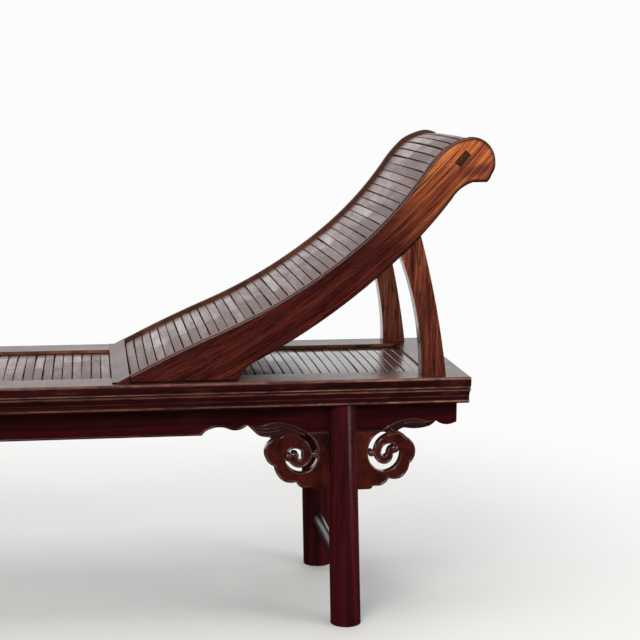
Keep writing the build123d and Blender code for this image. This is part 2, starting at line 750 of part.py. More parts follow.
# Legs with their spandrels and stretchers
for end_name, end in (("head", 1), ("foot", -1)):
    stretcher_z = seat_height - stretcher_drop - stretcher_height / 2
    stretcher_reach = apron_line - leg_foot_radius + stretcher_tenon_length
    stretcher_plane = Plane(origin=(leg_axis(stretcher_z, end), 0, stretcher_z), x_dir=(1, 0, 0),
                            z_dir=(0, -1, 0))
    with BuildPart() as front_leg:
        with BuildSketch(Plane((leg_axis(0, end), -apron_line, 0))):
            Circle(leg_foot_radius)
        with BuildSketch(Plane((leg_top[end], -apron_line, rail_bottom))):
            Circle(leg_top_radius)
        loft()
        with Locations((leg_top[end], -apron_line, apron_bottom)):
            Box(4 * leg_top_radius, apron_thickness + 2 * fit_gap, apron_drop + overrun,
                align=standing, mode=Mode.SUBTRACT)
        for outward, cloud in ((1, outer_cloud), (-1, inner_cloud)):
            root_x = leg_axis(apron_bottom - spandrel_height / 2, end)
            housing_x = root_x + end * outward * (spandrel_root - fit_gap + leg_top_radius)
            housing_height = spandrel_height * cloud["step"][-1][1] + fit_gap
            with Locations((housing_x, -apron_line, apron_bottom)):
                Box(2 * leg_top_radius, apron_thickness + 2 * fit_gap, housing_height,
                    align=(Align.CENTER, Align.CENTER, Align.MAX), mode=Mode.SUBTRACT)
        leg_tenons(end, 0)
        with Locations(*[(leg_top[end] + side * leg_dowel_spread, -leg_dowel_y, rail_bottom - leg_dowel_bite)
                         for side in (1, -1)]):
            Cylinder(leg_dowel_radius + rest_gap, leg_dowel_bite + overrun, align=standing,
                     mode=Mode.SUBTRACT)
        with BuildSketch(stretcher_plane):
            Ellipse(stretcher_width / 2 + fit_gap, stretcher_height / 2 + fit_gap)
        extrude(amount=stretcher_reach + fit_gap, mode=Mode.SUBTRACT)
    with BuildPart() as back_leg:
        mirror(front_leg.part, about=Plane.XZ)
    pieces[f"{end_name}_front_leg"] = front_leg.part
    pieces[f"{end_name}_back_leg"] = back_leg.part

    with BuildPart() as stretcher:
        with BuildSketch(stretcher_plane):
            Ellipse(stretcher_width / 2, stretcher_height / 2)
        extrude(amount=stretcher_reach, both=True)
    pieces[f"{end_name}_stretcher"] = stretcher.part

    for place_name, outward, cloud in (("outer", 1, outer_cloud), ("inner", -1, inner_cloud)):
        front_spandrel = spandrel(cloud, end, outward)
        with BuildPart() as back_spandrel:
            mirror(front_spandrel, about=Plane.XZ)
        pieces[f"{end_name}_front_{place_name}_spandrel"] = front_spandrel
        pieces[f"{end_name}_back_{place_name}_spandrel"] = back_spandrel.part


# One file for each sub-part
os.makedirs("parts", exist_ok=True)
for name, piece in pieces.items():
    piece.label = name
    export_step(piece, f"parts/{name}.step")
print(len(pieces), "sub-parts; the headrest board's edge is", round(crest_length, 1), "mm long")
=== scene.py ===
import math
import random

import bmesh
import bpy
from mathutils import Matrix, Vector


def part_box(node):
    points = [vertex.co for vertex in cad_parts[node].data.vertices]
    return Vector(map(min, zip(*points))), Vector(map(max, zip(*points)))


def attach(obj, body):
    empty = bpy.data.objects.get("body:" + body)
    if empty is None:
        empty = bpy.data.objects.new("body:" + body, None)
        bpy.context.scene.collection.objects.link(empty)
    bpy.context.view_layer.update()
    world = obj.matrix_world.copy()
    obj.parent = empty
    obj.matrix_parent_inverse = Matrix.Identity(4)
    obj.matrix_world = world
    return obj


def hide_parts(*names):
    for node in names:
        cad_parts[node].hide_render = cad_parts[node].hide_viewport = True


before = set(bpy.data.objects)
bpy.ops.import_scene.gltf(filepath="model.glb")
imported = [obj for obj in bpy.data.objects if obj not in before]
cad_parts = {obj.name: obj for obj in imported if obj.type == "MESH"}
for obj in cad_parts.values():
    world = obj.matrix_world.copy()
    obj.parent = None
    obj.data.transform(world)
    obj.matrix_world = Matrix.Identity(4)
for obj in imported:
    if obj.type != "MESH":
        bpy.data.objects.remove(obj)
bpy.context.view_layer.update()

# A long lounge chair: lacquered frame, bamboo slats, a rosewood headrest with scroll ends
lampWhite, lampWarm = (1, 1, 1), (1, 0.98, 0.95)
# weld and plane in metres, flat as the cosine of an angle, straight in degrees
closeness = dict(weld=1e-5, plane=1e-4, flat=0.99, straight=0.6)
shown = set()
print("frame loaded:", len(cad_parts), "nodes")

view = dict(
    place=(0.2061, -2.9124, 1.0275),
    yaw=8.715, pitch=9.066, roll=-0.309,  # degrees: towards +X, down, clockwise
    lens=84.99, sensor=36.0,
)
studio = dict(
    floorColour=(0.80, 0.79, 0.77), floorShade=0.98, floorRough=0.7, floorRadius=14, floorSides=96,
    floorBounce=(0.20, 0.15, 0.12), floorGloss=(0.045, 0.022, 0.018),
    fadeScale=0.1, fadeFrom=0.11, fadeTo=0.20,
    sky=(0.95, 0.97, 1.0), ambient=0.40, glossAmbient=0.045, backdrop=0.97,
)
# Soft panels: place, target, size, watts, colour, and whether a gloss shows them
panels = dict(
    wallGlow=((0.4, 2.0, 0.9), (0.4, 0, 0.6), (5.0, 2.6), 45.0, lampWhite, True),  # the pale wall behind
    keyPanel=((-0.9, -3.0, 2.3), (0.5, 0, 0.5), (1.8, 1.4), 62.0, lampWarm, True),
    topPanel=((0.3, -0.3, 2.9), (0.3, 0, 0.4), (2.4, 1.6), 34.0, lampWhite, True),
    sidePanel=((3.0, -1.2, 1.4), (0.6, 0, 0.5), (1.4, 1.4), 16.0, lampWhite, True),
    lowPanel=((3.1, -1.9, 0.7), (0.75, 0, 0.55), (1.2, 1.0), 26.0, lampWarm, False),  # would glare in the slats
    legPanel=((1.65, -0.95, 0.20), (0.55, -0.18, 0.2), (0.34, 0.38), 0.7, lampWarm, True),  # sheen on the legs
)


# Camera at the photograph's angle
def setCamera():
    yaw, pitch, roll = (math.radians(view[k]) for k in ("yaw", "pitch", "roll"))
    ahead = Vector((math.sin(yaw) * math.cos(pitch), math.cos(yaw) * math.cos(pitch), -math.sin(pitch)))
    level = Vector((math.cos(yaw), -math.sin(yaw), 0))
    below = ahead.cross(level)
    right = math.cos(roll) * level + math.sin(roll) * below
    down = -math.sin(roll) * level + math.cos(roll) * below
    camera = bpy.data.objects.new("camera", bpy.data.cameras.new("camera"))
    bpy.context.scene.collection.objects.link(camera)
    camera.data.lens = view["lens"]
    camera.data.sensor_width = view["sensor"]
    turn = Matrix((right, -down, -ahead)).transposed().to_4x4()
    camera.matrix_world = Matrix.Translation(view["place"]) @ turn
    bpy.context.scene.camera = camera


def panelLamp(name, place, target, size, watts, colour, glossy):
    lamp = bpy.data.lights.new(name, "AREA")
    lamp.shape = "RECTANGLE"
    lamp.size, lamp.size_y = size
    lamp.energy = watts
    lamp.color = colour
    panel = bpy.data.objects.new(name, lamp)
    bpy.context.scene.collection.objects.link(panel)
    aim = (Vector(target) - Vector(place)).to_track_quat("-Z", "Y")
    panel.matrix_world = Matrix.Translation(place) @ aim.to_matrix().to_4x4()
    panel.visible_camera = False
    panel.visible_glossy = glossy


def setStudio():
    scene = bpy.context.scene
    scene.view_settings.view_transform = "Standard"
    world = bpy.data.worlds.new("studio")
    world.use_nodes = True
    scene.world = world
    tree = world.node_tree
    tree.nodes.clear()
    out = addNode(tree, "ShaderNodeOutputWorld")
    paths = addNode(tree, "ShaderNodeLightPath")
    # a diffuse bounce sees the whole pale room, a gloss only its dimmer front
    dimmer = mathNode(tree, "MULTIPLY", paths.outputs["Is Glossy Ray"], studio["glossAmbient"] - studio["ambient"])
    soft = addNode(tree, "ShaderNodeBackground", dict(Color=(*studio["sky"], 1)))
    feed(tree, soft.inputs["Strength"], mathNode(tree, "ADD", dimmer, studio["ambient"]))
    pale = addNode(tree, "ShaderNodeBackground", dict(Color=(1, 1, 1, 1), Strength=studio["backdrop"]))
    mixed = mixShaders(tree, paths.outputs["Is Camera Ray"], soft, pale)
    feed(tree, out.inputs["Surface"], mixed.outputs[0])
    for name, settings in panels.items():
        panelLamp(name, *settings)


def setFloor():
    bm = bmesh.new()
    bmesh.ops.create_circle(bm, cap_ends=True, segments=studio["floorSides"], radius=studio["floorRadius"])
    floor = meshObject("floor", bm, [floorMaterial()])


# Node helpers: a socket is fed with a number, a colour or a link
def feed(tree, socket, value):
    if isinstance(value, (int, float)):
        socket.default_value = value
    elif isinstance(value, tuple):
        socket.default_value = (*value, 1)
    else:
        tree.links.new(value, socket)


def addNode(tree, kind, values=None, **settings):
    made = tree.nodes.new(kind)
    for key, value in settings.items():
        setattr(made, key, value)
    for key, value in (values or {}).items():
        made.inputs[key].default_value = value
    return made


def mathNode(tree, operation, first, second=None):
    made = addNode(tree, "ShaderNodeMath", operation=operation)
    feed(tree, made.inputs[0], first)
    if second is not None:
        feed(tree, made.inputs[1], second)
    return made.outputs[0]


def mapNode(tree, source, low, high, atLow=0.0, atHigh=1.0):
    made = addNode(tree, "ShaderNodeMapRange", {1: low, 2: high, 3: atLow, 4: atHigh})
    tree.links.new(source, made.inputs[0])
    return made.outputs[0]


def blendColour(tree, share, first, second, mode="MIX"):
    made = addNode(tree, "ShaderNodeMix", data_type="RGBA", blend_type=mode)
    for slot, value in zip((made.inputs[0], made.inputs[6], made.inputs[7]), (share, first, second)):
        feed(tree, slot, value)
    return made.outputs[2]


def mixShaders(tree, share, first, second):
    made = addNode(tree, "ShaderNodeMixShader")
    for slot, value in zip(made.inputs, (share, first.outputs[0], second.outputs[0])):
        feed(tree, slot, value)
    return made


def rampNode(tree, source, stops, smooth=False):
    made = addNode(tree, "ShaderNodeValToRGB")
    band = made.color_ramp
    band.interpolation = "EASE" if smooth else "LINEAR"
    while len(band.elements) < len(stops):
        band.elements.new(0.5)
    for element, (place, colour) in zip(band.elements, stops):
        element.position = place
        element.color = (colour, colour, colour, 1) if isinstance(colour, (int, float)) else (*colour, 1)
    tree.links.new(source, made.inputs[0])
    return made.outputs[0]


def noiseNode(tree, place, scale, detail=3, rough=0.5, distortion=0.0, stretch=(1, 1, 1)):
    spread = addNode(tree, "ShaderNodeMapping", dict(Scale=stretch))
    tree.links.new(place, spread.inputs["Vector"])
    made = addNode(tree, "ShaderNodeTexNoise",
                   dict(Scale=scale, Detail=detail, Roughness=rough, Distortion=distortion))
    tree.links.new(spread.outputs[0], made.inputs["Vector"])
    return made.outputs["Fac"]


def splitAxes(tree, source):
    parts = addNode(tree, "ShaderNodeSeparateXYZ")
    tree.links.new(source, parts.inputs[0])
    return parts.outputs


def startMaterial(name):
    material = bpy.data.materials.new(name)
    material.use_nodes = True
    tree = material.node_tree
    tree.nodes.clear()
    out = addNode(tree, "ShaderNodeOutputMaterial")
    shader = addNode(tree, "ShaderNodeBsdfPrincipled")
    tree.links.new(shader.outputs[0], out.inputs["Surface"])
    place = addNode(tree, "ShaderNodeTexCoord").outputs["Object"]
    return material, tree, shader, place


# Colour, roughness and relief come from nodes, and coat and shine stand on the shader itself
def finishShader(tree, shader, look, colour, rough, height):
    feed(tree, shader.inputs["Base Color"], colour)
    feed(tree, shader.inputs["Roughness"], rough)
    shader.inputs["Coat Weight"].default_value = look["coat"]
    shader.inputs["Coat Roughness"].default_value = look.get("coatRough", 0.12)
    shader.inputs["Specular IOR Level"].default_value = look.get("shine", 0.5)
    bump = addNode(tree, "ShaderNodeBump", dict(Distance=look.get("bump", 0.0002), Strength=1.0))
    tree.links.new(height, bump.inputs["Height"])
    tree.links.new(bump.outputs[0], shader.inputs["Normal"])


def floorMaterial():
    material, tree, shader, place = startMaterial("paleFloor")
    out = next(n for n in tree.nodes if n.type == "OUTPUT_MATERIAL")
    shade = tuple(c * studio["floorShade"] for c in studio["floorColour"])
    colour = rampNode(tree, noiseNode(tree, place, 1.5, 2), [(0.3, shade), (0.7, studio["floorColour"])])
    feed(tree, shader.inputs["Base Color"], colour)
    shader.inputs["Roughness"].default_value = studio["floorRough"]
    # light that bounces off it is a wooden floor's, so that the lacquer above stays deep
    seen = addNode(tree, "ShaderNodeLightPath").outputs
    matt = addNode(tree, "ShaderNodeBsdfDiffuse")
    bounce = blendColour(tree, seen["Is Glossy Ray"], studio["floorBounce"], studio["floorGloss"])
    feed(tree, matt.inputs["Color"], bounce)
    pale = mixShaders(tree, seen["Is Camera Ray"], matt, shader)
    # it fades into the white backdrop far from the chair
    white = addNode(tree, "ShaderNodeEmission", dict(Color=(1, 1, 1, 1), Strength=studio["backdrop"]))
    away = addNode(tree, "ShaderNodeVectorMath", operation="LENGTH")
    tree.links.new(place, away.inputs[0])
    scaled = mathNode(tree, "MULTIPLY", away.outputs["Value"], studio["fadeScale"])
    fade = rampNode(tree, scaled, [(studio["fadeFrom"], 0), (studio["fadeTo"], 1)], True)
    share = mathNode(tree, "MULTIPLY", fade, seen["Is Camera Ray"])
    feed(tree, out.inputs["Surface"], mixShaders(tree, share, pale, white).outputs[0])
    return material


def meshObject(name, bm, materials):
    mesh = bpy.data.meshes.new(name)
    bm.to_mesh(mesh)
    bm.free()
    made = bpy.data.objects.new(name, mesh)
    bpy.context.scene.collection.objects.link(made)
    for material in materials:
        mesh.materials.append(material)
    return made


# Stretch of a noise so that it runs as fibres along one axis
fibreStretch = dict(x=(0.05, 1, 1), y=(1, 0.05, 1), z=(1, 1, 0.05), none=(0.5, 0.5, 0.35))


# Coordinates bent to a cubic, so that fibres along X sweep up as the headrest boards do
def sweptPlace(tree, axes, start, slope, curve, turn):
    run = mathNode(tree, "SUBTRACT", axes[0], start)
    square = mathNode(tree, "MULTIPLY", run, run)
    cube = mathNode(tree, "MULTIPLY", square, run)
    rise = mathNode(tree, "ADD", mathNode(tree, "MULTIPLY", run, slope), mathNode(tree, "MULTIPLY", square, curve))
    rise = mathNode(tree, "ADD", rise, mathNode(tree, "MULTIPLY", cube, turn))
    joined = addNode(tree, "ShaderNodeCombineXYZ")
    for slot, value in zip(joined.inputs, (axes[0], axes[1], mathNode(tree, "SUBTRACT", axes[2], rise))):
        feed(tree, slot, value)
    return joined.outputs[0]


# Share of a dark oval of heartwood, broken up by the streaks
def knotShare(tree, own, streak, place, size, tilt, core):
    moved = addNode(tree, "ShaderNodeMapping", dict(Location=(place[0], 0, place[1]), Rotation=(0, tilt, 0),
                                                    Scale=(size[0], 1e3, size[1])), vector_type="TEXTURE")
    tree.links.new(own, moved.inputs["Vector"])
    reach = addNode(tree, "ShaderNodeVectorMath", operation="LENGTH")
    tree.links.new(moved.outputs[0], reach.inputs[0])
    stain = rampNode(tree, reach.outputs["Value"], [(core, 0.95), (1.0, 0)], True)
    return mathNode(tree, "MULTIPLY", stain, rampNode(tree, streak, [(0.46, 1), (0.66, 0.5)]))


# Polished wood whose fibres run along an axis or along the boards' sweep
def grainWood(name, look):
    material, tree, shader, own = startMaterial(name)
    axes = splitAxes(tree, own)
    place = sweptPlace(tree, axes, **look["sweep"]) if look.get("sweep") else own
    stretch = fibreStretch[look["along"]]
    figure = noiseNode(tree, place, look["figure"], 5, 0.66, look.get("wander", 0.12), stretch)
    streak = noiseNode(tree, place, look["streak"], 4, 0.68, 0.04, stretch)
    pore = noiseNode(tree, place, look["pore"], 2, 0.6, 0.0, stretch)
    cloud = noiseNode(tree, place, 7, 3, 0.5)
    colour = rampNode(tree, figure, [(0.34, look["dark"]), (0.49, look["middle"]), (0.64, look["light"])])
    for source, stops, depth, tone in (
            (streak, [(0.40, 1), (0.49, 0)], look["streakDepth"], look["line"]),
            (streak, [(0.56, 0), (0.66, 1)], look["streakDepth"] * 0.55, look["light"]),
            (pore, [(0.34, 1), (0.45, 0)], look["poreDepth"], look["line"])):
        share = mathNode(tree, "MULTIPLY", rampNode(tree, source, stops), depth)
        colour = blendColour(tree, share, colour, tone)
    fade = look.get("fade")
    if fade:  # darker towards the lower height
        level = mapNode(tree, axes[2], fade["low"], fade["high"], 1.0, 0.0)
        colour = blendColour(tree, mathNode(tree, "MULTIPLY", level, fade["depth"]), colour, fade["colour"],
                             "MULTIPLY")
    patches = rampNode(tree, cloud, [(0.35, 0.0), (0.7, look["patch"])])
    colour = blendColour(tree, patches, colour, look["patchColour"])
    if look.get("knot"):
        colour = blendColour(tree, knotShare(tree, own, streak, **look["knot"]), colour, look["knotColour"])
    rim = look.get("rim")
    if rim:  # darker towards the rounded edge, which the mesh marks, and more so higher up: painted shade on the rounded edge together with a darker margin of the wood
        near = addNode(tree, "ShaderNodeAttribute", attribute_name="rim").outputs["Fac"]
        level = mapNode(tree, axes[2], rim["low"], rim["high"], rim["least"], 1.0)
        colour = blendColour(tree, mathNode(tree, "MULTIPLY", near, level), colour, rim["colour"], "MULTIPLY")
    rough = mapNode(tree, cloud, 0.3, 0.7, *look["rough"])
    finishShader(tree, shader, look, colour, rough, mathNode(tree, "ADD", streak, pore))
    return material


# Old oxblood lacquer: nearly black red, fibres showing through, worn to orange wood in patches
def oldLacquer(name, look):
    material, tree, shader, place = startMaterial(name)
    stretch = fibreStretch[look["along"]]
    fibre = noiseNode(tree, place, 55, 5, 0.65, 0.3, stretch)
    fine = noiseNode(tree, place, 260, 3, 0.6, 0.0, stretch)
    cloud = noiseNode(tree, place, 9, 4, 0.6)
    speck = noiseNode(tree, place, 120, 3, 0.7)
    colour = rampNode(tree, fibre, [(0.35, look["dark"]), (0.68, look["light"])])
    worn = mathNode(tree, "MULTIPLY", rampNode(tree, cloud, [(0.56, 0), (0.74, 1)]),
                    rampNode(tree, fine, [(0.45, 0), (0.66, 1)]))
    colour = blendColour(tree, mathNode(tree, "MULTIPLY", worn, look["wear"]), colour, look["under"])
    lines = look.get("lines")
    if lines:  # worn arrises of the moulding, by height, partly real wear and partly a painted highlight on the bead crests; the paler tone towards the head is a painted highlight
        axes = splitAxes(tree, place)
        mask = rampNode(tree, mapNode(tree, axes[2], lines["low"], lines["high"]), lines["stops"])
        patchy = noiseNode(tree, place, 22, 4, 0.7, 0.4, (1, 1, 4))
        broken = mathNode(tree, "MULTIPLY", mask, rampNode(tree, patchy, [(0.36, 0.12), (0.60, 1)]))
        along = mapNode(tree, axes[0], *lines["towardsHead"])
        colour = blendColour(tree, broken, colour, blendColour(tree, along, lines["colour"], lines["headSheenColour"]))
    mottle = mathNode(tree, "MULTIPLY", mathNode(tree, "ADD", cloud, speck), 0.5)
    rough = mapNode(tree, mottle, 0.3, 0.7, *look["rough"])
    height = mathNode(tree, "ADD", fine, mathNode(tree, "MULTIPLY", speck, 0.5))
    finishShader(tree, shader, look, colour, rough, height)
    return material


# Where an edge has been rubbed: lighter wood broken up by what is left of the finish; on the near board's lip the same
# pale pattern is a painted reflection
def rubbedEdgeAndSheen(name, look):
    material, tree, shader, place = startMaterial(name)
    patchy = noiseNode(tree, place, look["scale"], 5, 0.7, 0.5)
    fine = noiseNode(tree, place, 300, 3, 0.6)
    bareFrom, bareTo = look["bareAt"]
    colour = blendColour(tree, rampNode(tree, patchy, [(bareFrom, 0), (bareTo, 1)]), look["finish"], look["bare"])
    left = mathNode(tree, "MULTIPLY", rampNode(tree, fine, [(0.4, 1), (0.6, 0)]), 0.35)
    colour = blendColour(tree, left, colour, look["finish"])
    above = look.get("above")
    if above:  # another tone above a height
        level = mapNode(tree, splitAxes(tree, place)[2], above["low"], above["high"], 0.0, 0.9)
        colour = blendColour(tree, level, colour, above["tone"])
    finishShader(tree, shader, look, colour, look["rough"], fine)
    return material


# Lacquered bamboo; each slat carries its tone, the place of its node and the step in tone there
def bambooLacquer(name, look):
    material, tree, shader, place = startMaterial(name)
    own = addNode(tree, "ShaderNodeAttribute", attribute_name="slatLook")
    tone, nodeAt, step = splitAxes(tree, own.outputs["Vector"])
    axes = splitAxes(tree, place)
    wobble = mathNode(tree, "MULTIPLY", noiseNode(tree, place, 60, 2), 0.004)
    away = mathNode(tree, "SUBTRACT", mathNode(tree, "ADD", axes[1], wobble), nodeAt)
    beyond = mathNode(tree, "GREATER_THAN", away, 0)
    level = mathNode(tree, "ADD", tone, mathNode(tree, "MULTIPLY", beyond, step))
    fibre = noiseNode(tree, place, 420, 4, 0.65, 0.0, (1, 0.02, 1))
    cloud = noiseNode(tree, place, 40, 4, 0.6, 0.3, (1, 0.25, 1))
    for source, depth in ((fibre, 0.8), (cloud, 0.4)):
        swing = mathNode(tree, "MULTIPLY", mathNode(tree, "SUBTRACT", source, 0.5), depth)
        level = mathNode(tree, "ADD", level, swing)
    colour = rampNode(tree, level, [(0.1, look["dark"]), (0.5, look["middle"]), (0.95, look["light"])])
    ring = mapNode(tree, mathNode(tree, "ABSOLUTE", away), 0.0, look["nodeWidth"], 1.0, 0.0)
    colour = blendColour(tree, mathNode(tree, "MULTIPLY", ring, 0.9), colour, look["node"])
    worn = mathNode(tree, "ADD", mathNode(tree, "MULTIPLY", cloud, 0.5), mathNode(tree, "MULTIPLY", level, 0.5))
    rough = mapNode(tree, worn, 0.35, 0.75, look["rough"][1], look["rough"][0])
    # the seat slats that the headrest covers have kept their polish
    kept = look["kept"]
    covered = mapNode(tree, axes[0], kept["fromX"], kept["toX"], 1.0, kept["share"])
    raised = mapNode(tree, axes[2], kept["fromZ"], kept["toZ"])
    rough = mathNode(tree, "MULTIPLY", rough, mathNode(tree, "MAXIMUM", covered, raised))
    height = mathNode(tree, "ADD", fibre, mathNode(tree, "MULTIPLY", cloud, 1.2))
    finishShader(tree, shader, look, colour, rough, height)
    return material


# The faces of a body and, by the material slot that they take, its edges, inside and rounded rim
faceSlots = dict(body=0, edge=1, inside=2, rim=3)


# A CAD piece with its corners eased and its edges rubbed
def eased(node, body, edge, width, segments=2, angle=32.0, inside=None, isInside=None, clamp=True,
          weld=closeness["weld"]):
    bm = bmesh.new()
    bm.from_mesh(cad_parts[node].data)
    bmesh.ops.remove_doubles(bm, verts=bm.verts, dist=weld)
    bmesh.ops.dissolve_degenerate(bm, edges=bm.edges, dist=weld)
    bmesh.ops.dissolve_limit(bm, angle_limit=math.radians(closeness["straight"]), verts=bm.verts, edges=bm.edges)
    bm.normal_update()
    materials = [body, edge] + ([inside] if inside else [])
    if node.endswith("side_board"):
        rollEdge(bm, -1 if node.startswith("front") else 1)
        bm.normal_update()
        materials.append(rimWood)
    for face in bm.faces:
        if face.material_index != faceSlots["rim"]:
            face.material_index = faceSlots["inside" if inside and isInside(face) else "body"]
        face.smooth = True
    piece = meshObject(node + "_eased", bm, materials)
    if "custom_normal" in piece.data.attributes:
        piece.data.attributes.remove(piece.data.attributes["custom_normal"])
    soften = piece.modifiers.new("eased edges", "BEVEL")
    soften.width = width
    soften.segments = segments
    soften.limit_method = "ANGLE"
    soften.angle_limit = math.radians(angle)
    soften.material = faceSlots["edge"]
    soften.use_clamp_overlap = clamp
    soften.harden_normals = False
    piece.modifiers.new("weighted", "WEIGHTED_NORMAL").keep_sharp = True
    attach(piece, "root")
    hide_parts(node)
    shown.add(node)


setCamera()
setStudio()
setFloor()
print("camera, lamps and floor set")

# Rails of the seat frame; the stops are the worn arrises by their share of the moulding's height, their pale lines
# partly wear and partly a painted highlight
rails = dict(
    edge=0.0014,
    lacquer=dict(along="x", dark=(0.009, 0.0006, 0.0011), light=(0.040, 0.0021, 0.0038), under=(0.19, 0.052, 0.015),
                 wear=0.65, rough=(0.26, 0.40), coat=0.10, coatRough=0.16, shine=0.4, bump=0.0003,
                 lines=dict(low=0.430, high=0.480, towardsHead=(0.35, 0.85),
                            colour=(0.25, 0.095, 0.055), headSheenColour=(0.42, 0.20, 0.14),
                            stops=[(0.035, 0.0), (0.06, 0.35), (0.09, 0.9), (0.13, 0.0), (0.26, 0.0), (0.28, 0.3),
                                   (0.30, 0.0), (0.465, 0.0), (0.485, 0.85), (0.51, 0.85), (0.53, 0.0),
                                   (0.585, 0.0), (0.60, 0.85), (0.625, 0.85), (0.64, 0.0), (0.895, 0.0),
                                   (0.92, 0.8), (0.965, 0.9), (0.985, 0.25)])),
    rubbed=dict(scale=26, finish=(0.030, 0.005, 0.005), bare=(0.42, 0.15, 0.055), bareAt=(0.40, 0.58),
                rough=0.4, coat=0.2),
    inside=dict(scale=12, finish=(0.060, 0.018, 0.008), bare=(0.30, 0.095, 0.030), bareAt=(0.34, 0.60),
                rough=0.45, coat=0.0),
)
lacquerX = oldLacquer("oxblood lacquer along the rails", rails["lacquer"])
lacquerY = oldLacquer("oxblood lacquer across", dict(rails["lacquer"], along="y"))
rubbedRed = rubbedEdgeAndSheen("rubbed lacquer edge", rails["rubbed"])
wornInside = rubbedEdgeAndSheen("worn inside of a rail", rails["inside"])


# Faces of a long rail that look at the slats
def onInside(face):
    return face.normal.y * face.calc_center_median().y < 0 and abs(face.normal.y) > 0.9


for node in ("front_rail", "back_rail"):
    eased(node, lacquerX, rubbedRed, rails["edge"], inside=wornInside, isInside=onInside)
for node in ("head_end_rail", "foot_end_rail"):
    eased(node, lacquerY, rubbedRed, rails["edge"])

aprons = dict(
    edge=0.0006,
    lacquer=dict(rails["lacquer"], lines=None, dark=(0.012, 0.0004, 0.0011), light=(0.048, 0.0012, 0.0036),
                 wear=0.12, coat=0.06, shine=0.3),
)
apronLacquer = oldLacquer("oxblood lacquer on the aprons", aprons["lacquer"])
apronLacquerY = oldLacquer("oxblood lacquer on the end aprons", dict(aprons["lacquer"], along="y"))
for node in ("front_apron", "back_apron"):
    eased(node, apronLacquer, rubbedRed, aprons["edge"])
for node in ("head_end_apron", "foot_end_apron"):
    eased(node, apronLacquerY, rubbedRed, aprons["edge"])

legs = dict(
    edge=0.0008, stretcherEdge=0.0008,
    lacquer=dict(along="z", dark=(0.013, 0.0017, 0.0030), light=(0.082, 0.0062, 0.0110), under=(0.11, 0.025, 0.014),
                 wear=0.18, rough=(0.20, 0.30), coat=0.25, coatRough=0.10, shine=0.45, bump=0.0003),
)
lacquerZ = oldLacquer("oxblood lacquer on the legs", legs["lacquer"])
for end in ("head", "foot"):
    for side in ("front", "back"):
        eased(f"{end}_{side}_leg", lacquerZ, rubbedRed, legs["edge"])
    eased(f"{end}_stretcher", lacquerY, rubbedRed, legs["stretcherEdge"])
print("rails, aprons, legs and stretchers eased")

# Side boards. A ring inside the outline is its width, the rim's share at its outer line and how far that
# line falls away. The worn corner is the way out to it, where it starts along that, and the share worn off.
boards = dict(
    edge=0.0009, segments=3, angle=40, toeEdge=0.0008, lipFrom=0.190,
    rings=((0.0014, 1.0, 0.0042), (0.0019, 1.0, 0.0016), (0.0048, 1.0, 0.0)), crowded=0.0012, clear=0.028,
    shineRing=1, shineFrom=0.905,
    scrollFrom=0.9, wornCorner=dict(outX=0.828, outZ=-0.560, least=0.299, share=0.56),
    wood=dict(along="x", sweep=dict(start=0.25, slope=0.411, curve=0.2545, turn=0.283),
              figure=105, streak=400, pore=1000, wander=0.25, streakDepth=0.85, poreDepth=0.55, patch=0.15,
              dark=(0.24, 0.040, 0.022), middle=(0.49, 0.114, 0.037), light=(0.92, 0.31, 0.080),
              line=(0.055, 0.007, 0.009), patchColour=(0.10, 0.014, 0.006),
              fade=dict(low=0.72, high=0.93, depth=0.97, colour=(0.108, 0.041, 0.125)),
              knot=dict(place=(0.910, 0.8625), size=(0.044, 0.015), tilt=-0.32, core=0.30),
              knotColour=(0.085, 0.017, 0.019),
              # the rim darkening is painted shade on the rounded edge, together with a darker margin of the wood
              rim=dict(low=0.54, high=0.72, least=0.1, colour=(0.20, 0.10, 0.14)),
              rough=(0.20, 0.30), coat=0.3, coatRough=0.12, shine=0.35, bump=0.0003),
    rubbed=dict(scale=18, finish=(0.030, 0.005, 0.004), bare=(0.12, 0.030, 0.014), bareAt=(0.50, 0.76),
                rough=0.30, coat=0.2),
    farLip=dict(scale=9, finish=(0.070, 0.022, 0.012), bare=(0.20, 0.070, 0.026), bareAt=(0.42, 0.62),
                above=dict(low=0.60, high=0.82, tone=(0.085, 0.032, 0.018)), rough=0.62, coat=0.0, shine=0.25),
    # the near lip's pale grey-tan is a painted reflection of the pale wall in the board's top, painted dark above a
    # height where that reflection is dark
    nearLip=dict(scale=14, finish=(0.17, 0.085, 0.060), bare=(0.36, 0.21, 0.15), bareAt=(0.40, 0.66),
                 above=dict(low=0.76, high=0.90, tone=(0.050, 0.010, 0.006)), rough=0.55, coat=0.0, shine=0.2),
)
rubbedBoard = rubbedEdgeAndSheen("rubbed board edge", boards["rubbed"])
farLip = rubbedEdgeAndSheen("dull board lip", boards["farLip"])
nearLip = rubbedEdgeAndSheen("board lip with painted reflection", boards["nearLip"])
boardWood = grainWood("amber rosewood", boards["wood"])
rimWood = grainWood("amber rosewood at the rounded edge", dict(boards["wood"], coat=1.0, coatRough=0.07, shine=0.5))
toeWood = grainWood("dulled amber rosewood", dict(boards["wood"], coat=0.05, rough=(0.28, 0.42), knot=None))


